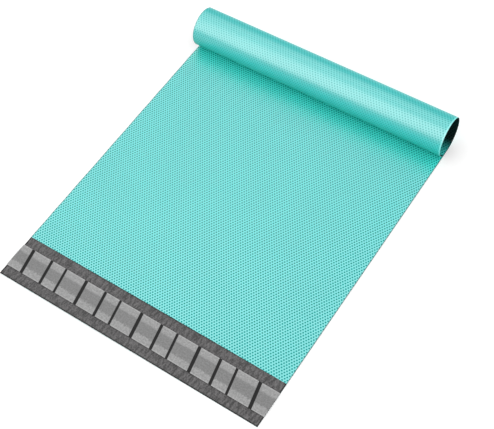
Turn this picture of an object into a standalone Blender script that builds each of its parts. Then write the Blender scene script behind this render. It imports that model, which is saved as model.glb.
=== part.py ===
"""Poly mailer bag, empty: a film courier bag that lies flat, its closed end curled over into an open roll.

Metres, +Z up. X runs across the bag and +Y from the flap towards the curl. The origin is the middle of the
bag's footprint, on the surface that it lies on. The bag is first made flat, as it is welded, and then its
closed end is bent along the curl's profile.
"""

import math

import bmesh
import bpy

# Bag: one web of film, folded at the closed end and welded along both sides
BAG_WIDTH = 0.250
BAG_LENGTH = 0.350  # mouth to closed end, along the film
FILM = 0.00006  # one layer
SIDE_WELD = 0.006  # width of the seal along each side

# Air left in the empty pocket
POCKET_GAP = 0.0002  # between the panels
WELD_GAP = 0.00002  # the same, where the panels run into a side weld
WELD_RAMP = 0.012  # the gap grows from one to the other over this width
MOUTH_GAPE = 0.0008  # how far the front panel has sprung open in the middle of the mouth
GAPE_REACH = 0.045  # how far into the pocket it stays open

# Curl of the closed end, on the film's outer face: three arcs that run into each other
LEAD_RADIUS = 0.0187  # up from the ground
LEAD_ANGLE = math.radians(113)
CROWN_RADIUS = 0.010  # the tighter bend over the back
CROWN_ANGLE = math.radians(30)
END_SLOPE = math.radians(32)  # the closed end comes down on the front panel at this slope

# Flap, from the mouth outwards
MOUTH_MARGIN = 0.0090  # bare film between the mouth and the liner
LINER_WIDTH = 0.022
EDGE_MARGIN = 0.0090  # bare film between the liner and the flap's edge
LINER = 0.00005  # thickness of the release liner
GLUE_INSET = 0.002  # the glue stops this far inside the liner, all round
GLUE = 0.00004  # thickness of the adhesive

# Between pieces, and between the resting closed end and the panel below it
CLEARANCE = 0.0003

# Facets
CURL_STEP = math.radians(6)  # of arc to a row
ARCH_COLUMNS = 10  # across the pocket
GAPE_ROWS = 5  # along the open stretch at the mouth
SHARP_ANGLE = math.radians(40)  # edges that turn further than this stay crisp

FLAP_LENGTH = MOUTH_MARGIN + LINER_WIDTH + EDGE_MARGIN
POCKET_HALF = BAG_WIDTH / 2 - SIDE_WELD
BAG_THICKNESS = 2 * FILM + POCKET_GAP
OUTER_BAND = 0.75 * FILM  # faces of the flat bag this near its top or bottom are outside or cut edges

TEAL = (0.196, 0.672, 0.652, 1)
DARK_GREY = (0.090, 0.090, 0.092, 1)
LINER_GREY = (0.376, 0.376, 0.376, 1)
GLUE_AMBER = (0.62, 0.57, 0.44, 1)


def curl_arcs():
    """(radius, first heading, last heading) of each arc. The tail's radius brings the end to its rest."""
    crown_start = LEAD_ANGLE
    tail_start = LEAD_ANGLE + CROWN_ANGLE
    tail_end = 2 * math.pi - END_SLOPE
    drop_from = LEAD_RADIUS * (1 - math.cos(crown_start))
    drop_from += CROWN_RADIUS * (math.cos(crown_start) - math.cos(tail_start))
    drop = drop_from - (BAG_THICKNESS + CLEARANCE)
    tail_radius = drop / (math.cos(tail_end) - math.cos(tail_start))
    return (
        (LEAD_RADIUS, 0.0, crown_start),
        (CROWN_RADIUS, crown_start, tail_start),
        (tail_radius, tail_start, tail_end),
    )


ARCS = curl_arcs()
CURL_LENGTH = sum(radius * (last - first) for radius, first, last in ARCS)
FLAT_RUN = BAG_LENGTH - CURL_LENGTH  # mouth to where the film leaves the ground


def on_profile(along):
    """(y, z, heading) of the film's outer face, at a distance from the mouth."""
    y = min(along, FLAT_RUN)
    z = 0.0
    heading = 0.0
    left = along - FLAT_RUN
    for radius, first, last in ARCS:
        if left <= 0:
            break
        heading = min(first + left / radius, last)
        y += radius * (math.sin(heading) - math.sin(first))
        z += radius * (math.cos(first) - math.cos(heading))
        left -= radius * (last - first)
    return y, z, heading


def curl_rows():
    """Distances from the mouth at which the film bends, one for every CURL_STEP of arc."""
    rows = [FLAT_RUN]
    for radius, first, last in ARCS:
        steps = math.ceil((last - first) / CURL_STEP)
        rows += [rows[-1] + radius * (last - first) * (i + 1) / steps for i in range(steps)]
    return rows


ROWS = curl_rows()
Y_BACK = max(on_profile(along)[0] for along in ROWS)
Y_MIDDLE = (Y_BACK - FLAP_LENGTH) / 2


def smooth(t):
    """0 to 1 with level ends."""
    t = min(max(t, 0.0), 1.0)
    return t * t * (3 - 2 * t)


def panel_gap(x, along):
    """Air between the two panels."""
    from_weld = max(POCKET_HALF - abs(x), 0.0)
    gap = WELD_GAP + (POCKET_GAP - WELD_GAP) * smooth(from_weld / WELD_RAMP)
    arch = max(1 - (x / POCKET_HALF) ** 2, 0.0)
    opening = max(1 - max(along, 0.0) / GAPE_REACH, 0.0) ** 2
    return gap + MOUTH_GAPE * arch * opening


def placed(x, along, height):
    """A point of the flat bag, where it lies once the panels have parted and the end is curled."""
    if height > FILM + POCKET_GAP / 2:
        height += panel_gap(x, along) - POCKET_GAP
    y, z, heading = on_profile(along)
    return x, y - height * math.sin(heading) - Y_MIDDLE, z + height * math.cos(heading)


def new_collection(name):
    collection = bpy.data.collections.new(name)
    bpy.context.scene.collection.children.link(collection)
    return collection


def new_object(name, bm, collection):
    mesh = bpy.data.meshes.new(name)
    bmesh.ops.recalc_face_normals(bm, faces=bm.faces[:])
    bm.to_mesh(mesh)
    bm.free()
    obj = bpy.data.objects.new(name, mesh)
    collection.objects.link(obj)
    return obj


def new_material(name, colour, roughness):
    material = bpy.data.materials.new(name)
    material.use_nodes = True
    shader = material.node_tree.nodes["Principled BSDF"]
    shader.inputs["Base Color"].default_value = colour
    shader.inputs["Roughness"].default_value = roughness
    shader.inputs["Metallic"].default_value = 0.0
    material.diffuse_color = colour
    return material


def box(low, high):
    """A block between two corners."""
    bm = bmesh.new()
    bmesh.ops.create_cube(bm, size=1)
    for vert in bm.verts:
        vert.co = [a if c < 0 else b for a, b, c in zip(low, high, vert.co)]
    return bm


def flat_bag(collection, cutters):
    """The welded bag laid flat: back panel and flap below, front panel above, the pocket cut between."""
    section = (
        (-FLAP_LENGTH, 0.0),
        (BAG_LENGTH, 0.0),
        (BAG_LENGTH, BAG_THICKNESS),
        (0.0, BAG_THICKNESS),
        (0.0, FILM),
        (-FLAP_LENGTH, FILM),
    )
    bm = bmesh.new()
    side = bm.faces.new([bm.verts.new((-BAG_WIDTH / 2, y, z)) for y, z in section])
    swept = bmesh.ops.extrude_face_region(bm, geom=[side])
    moved = [item for item in swept["geom"] if isinstance(item, bmesh.types.BMVert)]
    bmesh.ops.translate(bm, vec=(BAG_WIDTH, 0, 0), verts=moved)
    bag = new_object("bag_film", bm, collection)

    pocket = new_object(
        "pocket_cutter",
        box((-POCKET_HALF, -MOUTH_MARGIN, FILM), (POCKET_HALF, BAG_LENGTH - FILM, FILM + POCKET_GAP)),
        cutters,
    )
    pocket.hide_render = True
    pocket.display_type = "WIRE"

    cut = bag.modifiers.new("pocket", "BOOLEAN")
    cut.operation = "DIFFERENCE"
    cut.object = pocket
    bpy.context.view_layer.update()
    evaluated = bag.evaluated_get(bpy.context.evaluated_depsgraph_get())
    mesh = bpy.data.meshes.new_from_object(evaluated)
    bag.modifiers.clear()
    bag.data = mesh
    return bag


def cut_lines(bm):
    """Edges across the bag where it bends, and along it where the panels part."""
    gape = [GAPE_REACH * (i + 1) / GAPE_ROWS for i in range(GAPE_ROWS)]
    for along in gape + ROWS[:-1]:
        bmesh.ops.bisect_plane(
            bm, geom=bm.verts[:] + bm.edges[:] + bm.faces[:], plane_co=(0, along, 0), plane_no=(0, 1, 0)
        )
    ramp_edge = POCKET_HALF - WELD_RAMP
    columns = [-POCKET_HALF, POCKET_HALF, -POCKET_HALF + WELD_RAMP / 2, POCKET_HALF - WELD_RAMP / 2]
    columns += [ramp_edge * (2 * i / ARCH_COLUMNS - 1) for i in range(ARCH_COLUMNS + 1)]
    for x in columns:
        bmesh.ops.bisect_plane(
            bm, geom=bm.verts[:] + bm.edges[:] + bm.faces[:], plane_co=(x, 0, 0), plane_no=(1, 0, 0)
        )


def inside_face(face):
    """Whether a face of the flat bag is on the film's dark inner side, in the pocket or on the flap."""
    x, y, z = face.calc_center_median()
    if abs(x) > BAG_WIDTH / 2 - SIDE_WELD / 4 or y > BAG_LENGTH - FILM / 2:
        return False
    return OUTER_BAND < z < BAG_THICKNESS - OUTER_BAND


def bag_film(collection, cutters):
    bag = flat_bag(collection, cutters)
    bag.data.materials.clear()
    bag.data.materials.append(new_material("film_outside", TEAL, 0.35))
    bag.data.materials.append(new_material("film_inside", DARK_GREY, 0.45))
    bm = bmesh.new()
    bm.from_mesh(bag.data)
    cut_lines(bm)
    for face in bm.faces:
        face.material_index = 1 if inside_face(face) else 0
        face.smooth = True
    for vert in bm.verts:
        vert.co = placed(*vert.co)
    bmesh.ops.triangulate(bm, faces=bm.faces[:], quad_method="SHORT_EDGE")
    bmesh.ops.recalc_face_normals(bm, faces=bm.faces[:])
    bm.to_mesh(bag.data)
    bm.free()
    bag.data.set_sharp_from_angle(angle=SHARP_ANGLE)
    return bag


def strip(name, inset, base, thickness, material, collection):
    """A band across the flap, as wide as the liner less an inset all round."""
    near = -MOUTH_MARGIN - inset - Y_MIDDLE
    far = -MOUTH_MARGIN - LINER_WIDTH + inset - Y_MIDDLE
    half = BAG_WIDTH / 2 - inset
    band = new_object(name, box((-half, far, base), (half, near, base + thickness)), collection)
    band.data.materials.append(material)
    return band


def main():
    for obj in list(bpy.data.objects):
        bpy.data.objects.remove(obj, do_unlink=True)
    mailer = new_collection("poly_mailer_bag")
    cutters = new_collection("cutters")
    bag_film(mailer, cutters)
    glue_base = FILM + CLEARANCE
    strip("adhesive_strip", GLUE_INSET, glue_base, GLUE, new_material("adhesive", GLUE_AMBER, 0.3), mailer)
    liner_base = glue_base + GLUE + CLEARANCE
    strip("release_liner", 0.0, liner_base, LINER, new_material("liner", LINER_GREY, 0.4), mailer)


main()
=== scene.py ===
"""Poly mailer bag: its film, liner and glue, finely meshed and finished, in place of the frame's solids.

Metres, +Z up, +Y from the flap towards the curled end, as in the frame.
"""

import math

import bpy
import numpy as np
from mathutils import Matrix, Vector


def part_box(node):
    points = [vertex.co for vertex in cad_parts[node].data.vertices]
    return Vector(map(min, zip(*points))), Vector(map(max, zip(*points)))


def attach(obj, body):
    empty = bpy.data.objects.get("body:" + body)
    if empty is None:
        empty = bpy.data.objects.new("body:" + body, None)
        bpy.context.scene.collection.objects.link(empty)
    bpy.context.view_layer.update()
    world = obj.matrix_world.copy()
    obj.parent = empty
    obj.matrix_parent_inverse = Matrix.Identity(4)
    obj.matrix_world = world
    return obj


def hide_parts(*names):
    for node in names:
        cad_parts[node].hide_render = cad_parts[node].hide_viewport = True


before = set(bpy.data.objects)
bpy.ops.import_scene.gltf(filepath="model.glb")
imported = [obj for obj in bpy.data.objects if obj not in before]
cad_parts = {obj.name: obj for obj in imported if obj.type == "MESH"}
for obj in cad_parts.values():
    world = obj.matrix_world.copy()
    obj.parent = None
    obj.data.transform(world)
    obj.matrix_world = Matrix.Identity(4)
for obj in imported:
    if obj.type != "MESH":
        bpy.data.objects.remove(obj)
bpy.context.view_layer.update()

# The bag's own sizes, as the solids have them
BAG_LENGTH = 0.350
FILM = 0.00006
SIDE_WELD = 0.006
POCKET_GAP = 0.0002
WELD_GAP = 0.00002
WELD_RAMP = 0.012
MOUTH_GAPE = 0.0008
GAPE_REACH = 0.045
LEAD_RADIUS = 0.0187
LEAD_ANGLE = math.radians(113)
CROWN_RADIUS = 0.010
CROWN_ANGLE = math.radians(30)
END_SLOPE = math.radians(32)
MOUTH_MARGIN = 0.0090
CLEARANCE = 0.0003

# Places read from the frame
BAG_LOW, BAG_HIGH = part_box("bag_film")
LINER_LOW, LINER_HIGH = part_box("release_liner")
GLUE_LOW, GLUE_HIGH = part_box("adhesive_strip")
BAG_WIDTH = BAG_HIGH[0] - BAG_LOW[0]
MOUTH_Y = LINER_HIGH[1] + MOUTH_MARGIN
FLAP_LENGTH = MOUTH_Y - BAG_LOW[1]
POCKET_HALF = BAG_WIDTH / 2 - SIDE_WELD
BAG_THICKNESS = 2 * FILM + POCKET_GAP

# Fineness of the mesh
COLUMN_STEP = 0.0055
FLAT_STEP = 0.0045
CURL_STEP = math.radians(3)
RAMP_COLUMNS = 5  # where the panels part, beside each weld
WELD_COLUMNS = 2
BAND_COLUMNS = 60
BAND_ROWS = 6
SHARP_ANGLE = math.radians(40)  # edges that turn further than this stay crisp

# Slight waves of the empty film. A wave's length is given for one radian of it.
PUCKER_HEIGHT = 0.00022  # along both sides
PUCKER_LENGTH = 0.0052
PUCKER_REACH = 0.010  # they die out this fast towards the middle
SIDE_TURN = 1.9  # sets the right side's waves off from the left's
DRIFT_TURN = 2.1  # how far the waves are drawn together and apart
DRIFT_LENGTH = 0.031
FLAP_LIFT = 0.00045  # of the flap's edge
FLAP_WAVE_LENGTH = 0.046
FLAP_WAVE_TURN = 0.8
CALM_START = 0.035  # before the curl, where the film starts to settle
CALM_LENGTH = 0.030

# Levels of the film's mesh, from the back panel's outside up to the front panel's outside, and which of
# make_film's materials its faces take
LEVELS = 4
LEVEL_MATERIALS = (0, 1, 1, 2)  # on each level
CUT_EDGE = 3  # between the levels

# Dots all over the film, where three sets of even lines cross: (lines per metre across, along, weight)
DOT_LINES = ((368.0, -223.0, 1.0), (54.0, 516.0, 0.55), (422.0, 293.0, 0.68))
DOT_FULL = 0.83
DOT_NONE = -0.09
DOT_SHARE = 0.3  # of the film that they cover
DOT_GLOSS = 0.05  # of the gloss between them
DOT_DEPTH = 0.00001
GRAIN_SHARE = 0.25  # of the dots' depth, for the fine grain between them
CURL_CONTRAST = 0.40  # of the dots' colour, where the film is curled
CURL_GLOSS_CONTRAST = 0.5  # of the dots' gloss, in the same place

# Dark inner side: how much dots, grain and streaks each darken it, from the start value up
INSIDE_START = -0.28
INSIDE_DOTS = 0.2
INSIDE_GRAIN = 0.4
INSIDE_STREAKS = 0.8

# Where along the film its look changes
CURL_TURN = 0.02  # past the line where the film leaves the ground
CREASE_START = 0.034  # before the line where the closed end rests on the front panel; from here painted light brightens the film towards it
CREASE_END = 0.010
HOLLOW_TURN = 0.018  # past that line, into the hollow of the curl, over which painted shade turns the film near black
END_TUCK = 0.028  # before the closed end, where the film turns under into the curl and painted shade deepens it
END_DEEP = END_TUCK / 3  # the part of it in full painted shade
SHADE_GLOSS = 0.2  # of the film's gloss, in both kinds of painted shade

# Strips along the film's edges, painted dark as edge shade, except the curl's right end, painted pale as a
# highlight
EDGE_CORE = 0.6  # of a strip's width, before it fades out
FLAT_EDGE_SHADE = 0.0007
LEFT_SHADE_RIM = 0.0008
LEFT_SHADE_SHARE = 0.5
RIGHT_HIGHLIGHT_RIM = 0.0016
TUCKED_HIGHLIGHT_SHARE = 0.4
INSIDE_EDGE_SHADE = 0.0013
FLAP_EDGE_CORE = 0.0008
MOUTH_EDGE = 0.001

# Middle part of a noise's range, as (low, high), from narrow to wide
NARROW = (0.4, 0.6)
MEDIUM = (0.35, 0.65)
WIDE = (0.3, 0.7)

# Stretched noise, as its scale across the sheet, along it and up
STREAK_SCALES = (480.0, 140.0, 0.0)
CLOUD_SCALES = (520.0, 13.0, 0.0)
FLECK_SCALES = (750.0, 17.0, 0.0)

# Liner: a darker middle between two pale bands with paler outer edges. Places are shares of its width.
MIDDLE_START = (0.24, 0.32)
MIDDLE_END = (0.69, 0.77)
RIM_FADE = (0.02, 0.05)
CLOUD_DRIFT = 0.25  # how far the clouds make the middle's borders wander
MIDDLE_SHARE = 0.8  # how strong the middle's colour is, of 1
CLOUD_SHARE = 0.6  # the same of the clouds
RIM_SHARE = 0.6  # and of the outer edges
LINER_GLOSS = 0.5

# Print on the liner: plain dark bars that all lean one way, in a repeating rhythm of (offset, width)
LINER_REPEAT = 0.0555
LINER_LEAN = 0.0045
LINER_BARS = ((0.001, 0.0030), (0.022, 0.0022), (0.037, 0.0026))
BAR_BLUR = 0.0002
BAR_GLOSS = 0.2

# How dark the faint clouds in a plain colour are, as a share of that colour
TEAL_CLOUD = 0.97
CUT_EDGE_CLOUD = 0.85
GLUE_CLOUD = 0.8

# Colours, linear
TEAL_LIGHT = (0.050, 0.785, 0.754, 1)
TEAL_DOT = (0.004, 0.330, 0.315, 1)
# Painted edge shade: the dark line along the film's edges and its cut
TEAL_EDGE_SHADE = (0.010, 0.200, 0.190, 1)
# Painted highlight on the film's cut along the curl
TEAL_EDGE_HIGHLIGHT = (0.550, 0.900, 0.880, 1)
# Painted highlight along the curl's right end
TEAL_RIM_HIGHLIGHT = (0.220, 0.930, 0.890, 1)
# Painted shade inside the curl
HOLLOW_PAINTED_SHADE = (0.080, 0.030, 0.030, 1)
# Painted shade where the film tucks under the curl
TUCK_PAINTED_SHADE = (0.250, 0.800, 0.700, 1)
# Painted light on the front panel before the crease
CREASE_PAINTED_LIGHT = (1.000, 1.140, 1.080, 1)
FILM_INSIDE = (0.168, 0.161, 0.164, 1)
FILM_INSIDE_DARK = (0.040, 0.038, 0.039, 1)
# Painted edge shade on the dark inner side and the flap's cut
FILM_INSIDE_EDGE_SHADE = (0.006, 0.006, 0.006, 1)
LINER_PALE = (0.440, 0.440, 0.440, 1)
LINER_RIM = (0.530, 0.530, 0.530, 1)
LINER_MID = (0.212, 0.212, 0.212, 1)
FLECK_TINT = (0.780, 0.780, 0.780, 1)
LINER_BAR = (0.014, 0.014, 0.014, 1)
GLUE_AMBER = (0.50, 0.44, 0.30, 1)
FLOOR_PALE = (0.86, 0.86, 0.86, 1)
WHITE = (1, 1, 1, 1)

# Camera, at the photograph's angle
CAMERA_AIM = Vector((0.01578, -0.00407, 0.0))
CAMERA_DISTANCE = 0.8928
CAMERA_AZIMUTH = math.radians(39.93)
CAMERA_ELEVATION = math.radians(56.44)
CAMERA_ROLL = math.radians(-7.49)
CAMERA_LENS = 79.17
SENSOR_WIDTH = 36.0
NEAREST_SEEN = 0.01
FARTHEST_SEEN = 50.0

# Soft boxes that only the gloss shows: (name, direction from the curl, size across, size upwards, power)
SOFT_BOXES = (
    ("front", (-0.32, -0.62, 0.70), 1.5, 1.9, 25.0),
    ("overhead", (-0.40, 0.34, 0.85), 1.4, 1.3, 8.3),
)
CURL_CENTRE = Vector((0.0, 0.13, 0.02))
LIGHT_DISTANCE = 1.5
DAYLIGHT = 1.0

# Floor
FLOOR_HALF = 6.0
FLOOR_DROP = 0.0003  # below the film
FLOOR_GLOW = 0.28  # what lifts it to white for the camera


def curl_arcs():
    """(radius, first heading, last heading) of each arc of the curl, as in the solids."""
    tail_start = LEAD_ANGLE + CROWN_ANGLE
    tail_end = 2 * math.pi - END_SLOPE
    drop = LEAD_RADIUS * (1 - math.cos(LEAD_ANGLE))
    drop += CROWN_RADIUS * (math.cos(LEAD_ANGLE) - math.cos(tail_start))
    drop -= BAG_THICKNESS + CLEARANCE
    tail_radius = drop / (math.cos(tail_end) - math.cos(tail_start))
    return (
        (LEAD_RADIUS, 0.0, LEAD_ANGLE),
        (CROWN_RADIUS, LEAD_ANGLE, tail_start),
        (tail_radius, tail_start, tail_end),
    )


ARCS = curl_arcs()
CURL_LENGTH = sum(radius * (last - first) for radius, first, last in ARCS)
FLAT_RUN = BAG_LENGTH - CURL_LENGTH


def on_profile(along):
    """(y, z, heading) of the film's outer face, at a distance from the mouth."""
    y = min(along, FLAT_RUN)
    z = 0.0
    heading = 0.0
    left = along - FLAT_RUN
    for radius, first, last in ARCS:
        if left <= 0:
            break
        heading = min(first + left / radius, last)
        y += radius * (math.sin(heading) - math.sin(first))
        z += radius * (math.cos(first) - math.cos(heading))
        left -= radius * (last - first)
    return y, z, heading


END_REST = on_profile(BAG_LENGTH)[0]  # where on the front panel the closed end comes down


def smooth(t):
    """0 to 1 with level ends."""
    t = np.clip(t, 0.0, 1.0)
    return t * t * (3 - 2 * t)


def panel_gap(x, along):
    """Air between the two panels."""
    from_weld = np.maximum(POCKET_HALF - np.abs(x), 0.0)
    gap = WELD_GAP + (POCKET_GAP - WELD_GAP) * smooth(from_weld / WELD_RAMP)
    arch = np.maximum(1 - (x / POCKET_HALF) ** 2, 0.0)
    opening = np.maximum(1 - np.maximum(along, 0.0) / GAPE_REACH, 0.0) ** 2
    return gap + MOUTH_GAPE * arch * opening


def film_relief(x, along):
    """How far the whole film has lifted off its ideal place, in the empty bag's slight waves."""
    near_side = np.exp(-(BAG_WIDTH / 2 - np.abs(x)) / PUCKER_REACH)
    turn = np.where(x > 0, SIDE_TURN, 0.0)
    drift = np.sin(along / DRIFT_LENGTH) * DRIFT_TURN
    pucker = 0.5 + 0.5 * np.sin(along / PUCKER_LENGTH + turn + drift)
    flap_wave = 0.5 + 0.5 * np.cos(x / FLAP_WAVE_LENGTH + FLAP_WAVE_TURN)
    flap_lift = smooth(-along / FLAP_LENGTH) * flap_wave
    level = 1 - smooth((along - (FLAT_RUN - CALM_START)) / CALM_LENGTH)
    return level * (PUCKER_HEIGHT * near_side * pucker + FLAP_LIFT * flap_lift)


def spaced(start, end, step):
    """Even steps from start up to end, without end."""
    count = max(round((end - start) / step), 1)
    return [start + (end - start) * i / count for i in range(count)]


def film_rows():
    """Distances from the mouth of the film's cross lines; the flap's are below 0."""
    rows = spaced(-FLAP_LENGTH, 0.0, FLAT_STEP) + spaced(0.0, FLAT_RUN, FLAT_STEP)
    start = FLAT_RUN
    for radius, first, last in ARCS:
        end = start + radius * (last - first)
        rows += spaced(start, end, radius * CURL_STEP)
        start = end
    return np.array(rows + [BAG_LENGTH - FILM, BAG_LENGTH])


def film_columns():
    """Places across the bag of the film's lengthwise lines, the same on both sides of the middle."""
    ramp_start = POCKET_HALF - WELD_RAMP
    half = spaced(0.0, ramp_start, COLUMN_STEP)
    half += spaced(ramp_start, POCKET_HALF, WELD_RAMP / RAMP_COLUMNS)
    half += spaced(POCKET_HALF, BAG_WIDTH / 2, SIDE_WELD / WELD_COLUMNS)
    half.append(BAG_WIDTH / 2)
    return np.array([-x for x in reversed(half[1:])] + half)


def middles(lines):
    return (lines[1:] + lines[:-1]) / 2


def film_cells(columns, rows):
    """Which cells of the block are film.

    The flap is one layer. Between the panels there is film at the side welds and at the closed end only.
    """
    x = middles(columns)
    along = middles(rows)
    filled = np.ones((len(x), len(along), LEVELS - 1), bool)
    past_mouth = along > 0
    filled[:, ~past_mouth, 1:] = False
    pocket_columns = np.abs(x) < POCKET_HALF
    pocket_rows = past_mouth & (along < BAG_LENGTH - FILM)
    filled[:, :, 1] &= ~(pocket_columns[:, None] & pocket_rows[None, :])
    return filled


def skin(filled):
    """Quads round the filled cells of a block, in groups, as (corner numbers, axis that the quads face).

    Corners are numbered through a lattice one larger each way than the block.
    """
    lattice_shape = [count + 1 for count in filled.shape]
    lattice = np.arange(np.prod(lattice_shape)).reshape(lattice_shape)
    groups = []
    for axis in range(3):
        padded = np.pad(filled, [(1, 1) if other == axis else (0, 0) for other in range(3)])
        before = np.take(padded, range(padded.shape[axis] - 1), axis)
        after = np.take(padded, range(1, padded.shape[axis]), axis)
        second = (axis + 1) % 3
        third = (axis + 2) % 3
        for facing_up, here in ((False, after & ~before), (True, before & ~after)):
            cells = np.argwhere(here)
            corners = []
            for second_step, third_step in ((0, 0), (1, 0), (1, 1), (0, 1)):
                at = cells.copy()
                at[:, second] += second_step
                at[:, third] += third_step
                corners.append(lattice[at[:, 0], at[:, 1], at[:, 2]])
            quads = np.stack(corners, axis=1)
            groups.append((quads if facing_up else quads[:, ::-1], axis))
    return groups


def layered(grid, count):
    """The same values on each of a number of layers."""
    return np.repeat(grid[..., None], count, axis=-1)


def listed(*grids):
    """Grids of single coordinates as one list of points."""
    return np.stack(grids, axis=-1).reshape(-1, len(grids))


def mesh_object(name, points, quads, materials, uvs=None, material_index=None):
    """A mesh piece from points and quads, without the points that no face uses."""
    used, index = np.unique(quads, return_inverse=True)
    quads = index.reshape(quads.shape)
    mesh = bpy.data.meshes.new(name)
    mesh.from_pydata(points[used].tolist(), [], quads.tolist())
    for material in materials:
        mesh.materials.append(material)
    if material_index is not None:
        mesh.polygons.foreach_set("material_index", material_index)
    if uvs is not None:
        layer = mesh.uv_layers.new(name="Sheet")
        layer.data.foreach_set("uv", uvs[used][quads.reshape(-1)].reshape(-1))
    mesh.shade_smooth()
    mesh.set_sharp_from_angle(angle=SHARP_ANGLE)
    obj = bpy.data.objects.new(name, mesh)
    bpy.context.scene.collection.objects.link(obj)
    return obj


def make_film():
    """Both panels, the flap, the welds and the folded end as one closed skin, bent along the curl."""
    columns = film_columns()
    rows = film_rows()
    grid_x, grid_row = np.meshgrid(columns, rows, indexing="ij")
    gap = panel_gap(grid_x, grid_row)
    ground = np.zeros_like(gap)
    heights = np.stack([ground, ground + FILM, FILM + gap, 2 * FILM + gap], axis=-1)
    heights += film_relief(grid_x, grid_row)[..., None]
    profile = np.array([on_profile(row) for row in rows])
    y, z, heading = (profile[:, i][None, :, None] for i in range(3))
    points = listed(
        layered(grid_x, LEVELS),
        MOUTH_Y + y - heights * np.sin(heading),
        z + heights * np.cos(heading),
    )
    uvs = listed(layered(grid_x, LEVELS), layered(grid_row, LEVELS))

    quads = []
    material_index = []
    for corners, axis in skin(film_cells(columns, rows)):
        quads.append(corners)
        if axis == 2:
            # The four corners share one level, which is the lattice's last index
            material_index.append(np.array(LEVEL_MATERIALS)[corners[:, 0] % LEVELS])
        else:
            material_index.append(np.full(len(corners), CUT_EDGE))
    materials = (
        outside_material("film_outside", False),
        inside_material(),
        outside_material("film_front_panel", True),
        cut_edge_material(),
    )
    material_index = np.concatenate(material_index).astype(np.int32)
    film = mesh_object("mailer_film", points, np.concatenate(quads), materials, uvs, material_index)
    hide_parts("bag_film")
    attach(film, "root")
    return film


def make_band(name, low, high, node, material):
    """A thin band across the flap, finely divided, which follows the flap's slight lift."""
    columns = np.linspace(low[0], high[0], BAND_COLUMNS + 1)
    rows = np.linspace(low[1], high[1], BAND_ROWS + 1)
    grid_x, grid_y = np.meshgrid(columns, rows, indexing="ij")
    rise = film_relief(grid_x, grid_y - MOUTH_Y)
    heights = np.stack([low[2] + rise, high[2] + rise], axis=-1)
    points = listed(layered(grid_x, 2), layered(grid_y, 2), heights)
    across = (grid_y - low[1]) / (high[1] - low[1])
    uvs = listed(layered(grid_x, 2), layered(across, 2))
    filled = np.ones((BAND_COLUMNS, BAND_ROWS, 1), bool)
    quads = np.concatenate([corners for corners, _ in skin(filled)])
    band = mesh_object(name, points, quads, (material,), uvs)
    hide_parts(node)
    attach(band, "root")


class Nodes:
    """Short calls for building the node tree of a material or of the world."""

    def __init__(self, owner):
        owner.use_nodes = True
        self.owner = owner
        self.tree = owner.node_tree

    def put(self, socket, value):
        """Links another node's output to a socket, or sets the socket's own value."""
        if isinstance(value, bpy.types.NodeSocket):
            self.tree.links.new(value, socket)
        else:
            socket.default_value = value

    def node(self, kind, inputs=(), **settings):
        made = self.tree.nodes.new(kind)
        for key, value in settings.items():
            setattr(made, key, value)
        for key, value in dict(inputs).items():
            self.put(made.inputs[key], value)
        return made

    def math(self, operation, a, b=0.0, c=0.0):
        return self.node("ShaderNodeMath", {0: a, 1: b, 2: c}, operation=operation).outputs[0]

    def vector(self, operation, a, b, output="Vector"):
        return self.node("ShaderNodeVectorMath", {0: a, 1: b}, operation=operation).outputs[output]

    def ramp(self, value, low, high, out_low=0.0, out_high=1.0):
        """value from low to high, eased, as out_low to out_high."""
        inputs = {"Value": value, "From Min": low, "From Max": high, "To Min": out_low, "To Max": out_high}
        return self.node("ShaderNodeMapRange", inputs, interpolation_type="SMOOTHSTEP").outputs["Result"]

    def fade(self, value, low, high):
        """1 up to low and 0 from high."""
        return self.ramp(value, low, high, 1.0, 0.0)

    def between(self, share, at_none, at_full):
        """A number for no share and one for a full share, eased from one to the other."""
        return self.ramp(share, 0.0, 1.0, at_none, at_full)

    def mix(self, factor, a, b, blend="MIX"):
        """Colour a for a factor of 0, and b for 1. The node's colour sockets are 6 and 7 in and 2 out."""
        inputs = {0: factor, 6: a, 7: b}
        return self.node("ShaderNodeMix", inputs, data_type="RGBA", blend_type=blend).outputs[2]

    def split(self, vector):
        """The vector's first and second number."""
        outputs = self.node("ShaderNodeSeparateXYZ", {"Vector": vector}).outputs
        return outputs["X"], outputs["Y"]

    def sheet(self):
        """The place on the flat sheet: metres across and, on the film, metres from the mouth."""
        return self.node("ShaderNodeUVMap", uv_map="Sheet").outputs["UV"]

    def noise(self, vector, scale, detail=2.0, roughness=0.5):
        inputs = {"Vector": vector, "Scale": scale, "Detail": detail, "Roughness": roughness}
        return self.node("ShaderNodeTexNoise", inputs).outputs["Fac"]

    def stretched_noise(self, vector, scales, detail, roughness):
        """Noise with a scale of its own each way."""
        return self.noise(self.vector("MULTIPLY", vector, scales), 1.0, detail, roughness)

    def bump(self, height, distance, strength=0.5, normal=None):
        made = self.node("ShaderNodeBump", {"Strength": strength, "Distance": distance, "Height": height})
        if normal is not None:
            self.put(made.inputs["Normal"], normal)
        return made.outputs["Normal"]

    def shade(self, **values):
        """Sets the main shader's inputs, by name."""
        shader = self.tree.nodes["Principled BSDF"]
        for key, value in values.items():
            self.put(shader.inputs[key.replace("_", " ")], value)
        return self.owner


def new_material(name):
    return Nodes(bpy.data.materials.new(name))


def scaled(colour, share):
    """The same colour, brighter or darker."""
    return tuple(c * share for c in colour[:3]) + (1,)


def dots(n, place):
    """1 inside a dot, 0 between."""
    crossing = 0.0
    for across, along, weight in DOT_LINES:
        wave = n.vector("DOT_PRODUCT", place, (2 * math.pi * across, 2 * math.pi * along, 0.0), "Value")
        crossing = n.math("MULTIPLY_ADD", n.math("COSINE", wave), weight, crossing)
    return n.ramp(crossing, DOT_NONE, DOT_FULL)


def softened(n, dot, contrast):
    """The dots at a lower contrast, with the same mean."""
    return n.math("MULTIPLY_ADD", n.math("SUBTRACT", dot, DOT_SHARE), contrast, DOT_SHARE)


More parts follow.
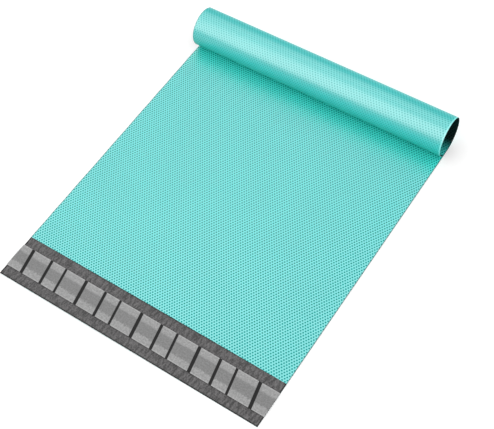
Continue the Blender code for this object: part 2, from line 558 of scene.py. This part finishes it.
def side_edge(n, x, width, side=0):
    """1 on the outermost strip along both sides of the bag, or along its left (-1) or right (1) only."""
    outwards = n.math("MULTIPLY", x, side) if side else n.math("ABSOLUTE", x)
    from_side = n.math("SUBTRACT", BAG_WIDTH / 2, outwards)
    return n.fade(from_side, width * EDGE_CORE, width)


def shaded_front(n, along, colour):
    """(colour, shade) of the front panel: painted light makes it a little brighter before the crease, and
    painted shade near black in the hollow.
    """
    # Painted light before the crease
    crease = n.ramp(along, END_REST - CREASE_START, END_REST - CREASE_END)
    colour = n.mix(crease, colour, CREASE_PAINTED_LIGHT, "MULTIPLY")
    # Painted shade inside the curl's hollow
    shade = n.ramp(along, END_REST, END_REST + HOLLOW_TURN)
    return n.mix(shade, colour, HOLLOW_PAINTED_SHADE, "MULTIPLY"), shade


def shaded_back(n, x, along, curled, colour):
    """(colour, shade) of the back panel: painted shade where it tucks under, a painted dark rim at the
    curl's left end and a painted highlight along its right end.
    """
    # Painted shade where the film tucks under
    shade = n.ramp(along, BAG_LENGTH - END_TUCK, BAG_LENGTH - END_DEEP)
    colour = n.mix(shade, colour, TUCK_PAINTED_SHADE, "MULTIPLY")
    # The curl's left end gets a rim of painted shade
    left_rim_shade = n.math("MULTIPLY", side_edge(n, x, LEFT_SHADE_RIM, -1), n.between(curled, 0.0, LEFT_SHADE_SHARE))
    colour = n.mix(left_rim_shade, colour, TEAL_EDGE_SHADE)
    # The curl's right end gets a rim of painted highlight, which fades in the tuck's painted shade
    right_rim_highlight = n.math("MULTIPLY", side_edge(n, x, RIGHT_HIGHLIGHT_RIM, 1), curled)
    right_rim_highlight = n.math("MULTIPLY", right_rim_highlight, n.between(shade, 1.0, TUCKED_HIGHLIGHT_SHARE))
    return n.mix(right_rim_highlight, colour, TEAL_RIM_HIGHLIGHT), shade


def outside_material(name, ends_inside_curl):
    """Teal film with its dots, and painted shade, light and highlights by place along it. One of the two
    panels ends up on the dim inner side of the curl.
    """
    n = new_material(name)
    place = n.sheet()
    x, along = n.split(place)
    curled = n.ramp(along, FLAT_RUN, FLAT_RUN + CURL_TURN)
    printed = dots(n, place)
    dot = softened(n, printed, n.between(curled, 1.0, CURL_CONTRAST))
    dull = softened(n, printed, n.between(curled, 1.0, CURL_GLOSS_CONTRAST))
    cloud = n.ramp(n.noise(place, scale=22.0, detail=3.0), *MEDIUM)
    colour = n.mix(cloud, TEAL_LIGHT, scaled(TEAL_LIGHT, TEAL_CLOUD))
    colour = n.mix(dot, colour, TEAL_DOT)
    # Painted edge shade along the flat film's sides
    edge = n.math("MULTIPLY", side_edge(n, x, FLAT_EDGE_SHADE), n.between(curled, 1.0, 0.0))
    colour = n.mix(edge, colour, TEAL_EDGE_SHADE)
    if ends_inside_curl:
        colour, shade = shaded_front(n, along, colour)
    else:
        colour, shade = shaded_back(n, x, along, curled, colour)
    # The gloss is lower in the painted shade too
    gloss = n.math("MULTIPLY", n.between(dull, 1.0, DOT_GLOSS), n.between(shade, 1.0, SHADE_GLOSS))
    grain = n.noise(place, scale=2600.0)
    height = n.math("SUBTRACT", n.math("MULTIPLY", grain, GRAIN_SHARE), dot)
    normal = n.bump(height, distance=DOT_DEPTH)
    normal = n.bump(n.noise(place, scale=30.0), distance=0.0001, strength=0.6, normal=normal)
    return n.shade(Base_Color=colour, Roughness=0.38, Normal=normal, IOR=1.75, Specular_IOR_Level=gloss)


def inside_material():
    """Dark inner side of the film, on the flap and in the pocket: grainy, streaked and faintly dotted, with
    painted edge shade along its sides and the flap's edge.
    """
    n = new_material("film_inside")
    place = n.sheet()
    x, along = n.split(place)
    grain = n.noise(place, scale=900.0, detail=4.0, roughness=0.65)
    streaks = n.stretched_noise(place, STREAK_SCALES, detail=3.0, roughness=0.7)
    darker = n.math("ADD", softened(n, dots(n, place), INSIDE_DOTS), INSIDE_START)
    darker = n.math("MULTIPLY_ADD", n.ramp(grain, *NARROW), INSIDE_GRAIN, darker)
    darker = n.math("MULTIPLY_ADD", n.ramp(streaks, *MEDIUM), INSIDE_STREAKS, darker)
    colour = n.mix(darker, FILM_INSIDE, FILM_INSIDE_DARK)
    # Painted edge shade along the sides and the flap's edge
    flap_edge = n.fade(along, -FLAP_LENGTH + FLAP_EDGE_CORE, -FLAP_LENGTH + INSIDE_EDGE_SHADE)
    edges = n.math("MAXIMUM", side_edge(n, x, INSIDE_EDGE_SHADE), flap_edge)
    colour = n.mix(edges, colour, FILM_INSIDE_EDGE_SHADE)
    normal = n.bump(grain, distance=0.00003, strength=0.6)
    normal = n.bump(n.noise(place, scale=40.0), distance=0.0002, normal=normal)
    return n.shade(Base_Color=colour, Roughness=0.55, Normal=normal, IOR=1.5)


def cut_edge_material():
    """The cut through the film, painted pale as a highlight along the curl's ends and painted dark as edge
    shade elsewhere, darkest along the flap.
    """
    n = new_material("film_cut_edge")
    place = n.sheet()
    along = n.split(place)[1]
    grain = n.noise(place, scale=180.0)
    colour = n.mix(n.ramp(grain, *WIDE), TEAL_EDGE_SHADE, scaled(TEAL_EDGE_SHADE, CUT_EDGE_CLOUD))
    colour = n.mix(n.ramp(along, FLAT_RUN, FLAT_RUN + CURL_TURN), colour, TEAL_EDGE_HIGHLIGHT)
    colour = n.mix(n.fade(along, -MOUTH_EDGE, 0.0), colour, FILM_INSIDE_EDGE_SHADE)
    return n.shade(Base_Color=colour, Roughness=0.45, IOR=1.5)


def slanted_bars(n, x, across, offset, width):
    """1 on the plain bars across the liner, LINER_REPEAT apart and all at one lean."""
    lean = n.math("MULTIPLY", n.math("SUBTRACT", across, 0.5), LINER_LEAN)
    shifted = n.math("ADD", n.math("ADD", x, lean), offset)
    from_bar = n.math("ABSOLUTE", n.math("WRAP", shifted, LINER_REPEAT / 2, -LINER_REPEAT / 2))
    return n.fade(from_bar, width / 2 - BAR_BLUR, width / 2 + BAR_BLUR)


def liner_material():
    """Grey liner: two pale bands, a darker middle, clouds and flecks along its length, and the bars."""
    n = new_material("release_liner")
    place = n.sheet()
    x, across = n.split(place)
    cloud = n.stretched_noise(place, CLOUD_SCALES, detail=4.0, roughness=0.75)
    uneven = n.math("MULTIPLY_ADD", n.math("SUBTRACT", cloud, 0.5), CLOUD_DRIFT, across)
    middle = n.math("MULTIPLY", n.ramp(uneven, *MIDDLE_START), n.fade(uneven, *MIDDLE_END))
    colour = n.mix(n.math("MULTIPLY", middle, MIDDLE_SHARE), LINER_PALE, LINER_MID)
    colour = n.mix(n.ramp(cloud, *WIDE, 0.0, CLOUD_SHARE), colour, LINER_MID)
    from_edge = n.math("SUBTRACT", 0.5, n.math("ABSOLUTE", n.math("SUBTRACT", across, 0.5)))
    colour = n.mix(n.ramp(from_edge, *RIM_FADE, RIM_SHARE, 0.0), colour, LINER_RIM)
    flecks = n.stretched_noise(place, FLECK_SCALES, detail=2.0, roughness=0.6)
    colour = n.mix(n.ramp(flecks, *MEDIUM), colour, FLECK_TINT, "MULTIPLY")
    dark = 0.0
    for offset, width in LINER_BARS:
        dark = n.math("MAXIMUM", slanted_bars(n, x, across, offset, width), dark)
    colour = n.mix(dark, colour, LINER_BAR)
    normal = n.bump(n.noise(place, scale=55.0, detail=3.0), distance=0.0002)
    gloss = n.between(dark, LINER_GLOSS, BAR_GLOSS)
    return n.shade(Base_Color=colour, Roughness=0.5, Normal=normal, IOR=1.5, Specular_IOR_Level=gloss)


def glue_material():
    n = new_material("adhesive")
    beads = n.noise(n.sheet(), scale=300.0)
    colour = n.mix(beads, GLUE_AMBER, scaled(GLUE_AMBER, GLUE_CLOUD))
    return n.shade(Base_Color=colour, Roughness=0.25, Normal=n.bump(beads, distance=0.00005))


def floor_material():
    """Plain pale floor. To the camera it is lifted to white, and keeps the object's shadow."""
    n = new_material("floor")
    n.shade(Base_Color=FLOOR_PALE, Roughness=0.9)
    plain = n.tree.nodes["Principled BSDF"].outputs[0]
    glow = n.node("ShaderNodeEmission", {"Color": WHITE, "Strength": FLOOR_GLOW}).outputs[0]
    lifted = n.node("ShaderNodeAddShader", {0: plain, 1: glow}).outputs[0]
    seen = n.node("ShaderNodeLightPath").outputs["Is Camera Ray"]
    pick = n.node("ShaderNodeMixShader", {0: seen, 1: plain, 2: lifted}).outputs[0]
    n.put(n.tree.nodes["Material Output"].inputs["Surface"], pick)
    return n.owner


def make_floor():
    corners = ((-1, -1), (1, -1), (1, 1), (-1, 1))
    points = np.array([(FLOOR_HALF * x, FLOOR_HALF * y, -FLOOR_DROP) for x, y in corners])
    floor = mesh_object("floor", points, np.array([[0, 1, 2, 3]]), (floor_material(),))


def make_soft_box(name, direction, across, upwards, power):
    data = bpy.data.lights.new(name, "AREA")
    data.shape = "RECTANGLE"
    data.size = across
    data.size_y = upwards
    data.energy = power
    light = bpy.data.objects.new(name, data)
    towards = Vector(direction).normalized()
    light.location = CURL_CENTRE + towards * LIGHT_DISTANCE
    light.rotation_mode = "QUATERNION"
    light.rotation_quaternion = towards.to_track_quat("Z", "Y")
    light.visible_diffuse = False
    bpy.context.scene.collection.objects.link(light)


def make_daylight():
    """Even white light from all round, which the gloss doesn't show."""
    world = bpy.data.worlds.new("studio")
    bpy.context.scene.world = world
    n = Nodes(world)
    background = n.tree.nodes["Background"]
    n.put(background.inputs["Color"], WHITE)
    n.put(background.inputs["Strength"], DAYLIGHT)
    world.cycles_visibility.glossy = False


def make_camera():
    data = bpy.data.cameras.new("camera")
    data.lens = CAMERA_LENS
    data.sensor_width = SENSOR_WIDTH
    data.sensor_fit = "HORIZONTAL"
    data.clip_start = NEAREST_SEEN
    data.clip_end = FARTHEST_SEEN
    camera = bpy.data.objects.new("camera", data)
    level = math.cos(CAMERA_ELEVATION)
    back_x = math.sin(CAMERA_AZIMUTH) * level
    back_y = -math.cos(CAMERA_AZIMUTH) * level
    back = Vector((back_x, back_y, math.sin(CAMERA_ELEVATION)))
    right = Vector((math.cos(CAMERA_AZIMUTH), math.sin(CAMERA_AZIMUTH), 0.0))
    up = back.cross(right)
    turned_right = right * math.cos(CAMERA_ROLL) + up * math.sin(CAMERA_ROLL)
    turned_up = back.cross(turned_right)
    place = Matrix((turned_right, turned_up, back)).transposed().to_4x4()
    place.translation = CAMERA_AIM + back * CAMERA_DISTANCE
    camera.matrix_world = place
    bpy.context.scene.collection.objects.link(camera)
    bpy.context.scene.camera = camera


film = make_film()
make_band("liner_strip", LINER_LOW, LINER_HIGH, "release_liner", liner_material())
make_band("glue_strip", GLUE_LOW, GLUE_HIGH, "adhesive_strip", glue_material())
make_floor()
for box in SOFT_BOXES:
    make_soft_box(*box)
make_daylight()
make_camera()
bpy.context.scene.view_settings.view_transform = "Standard"

bpy.context.view_layer.update()
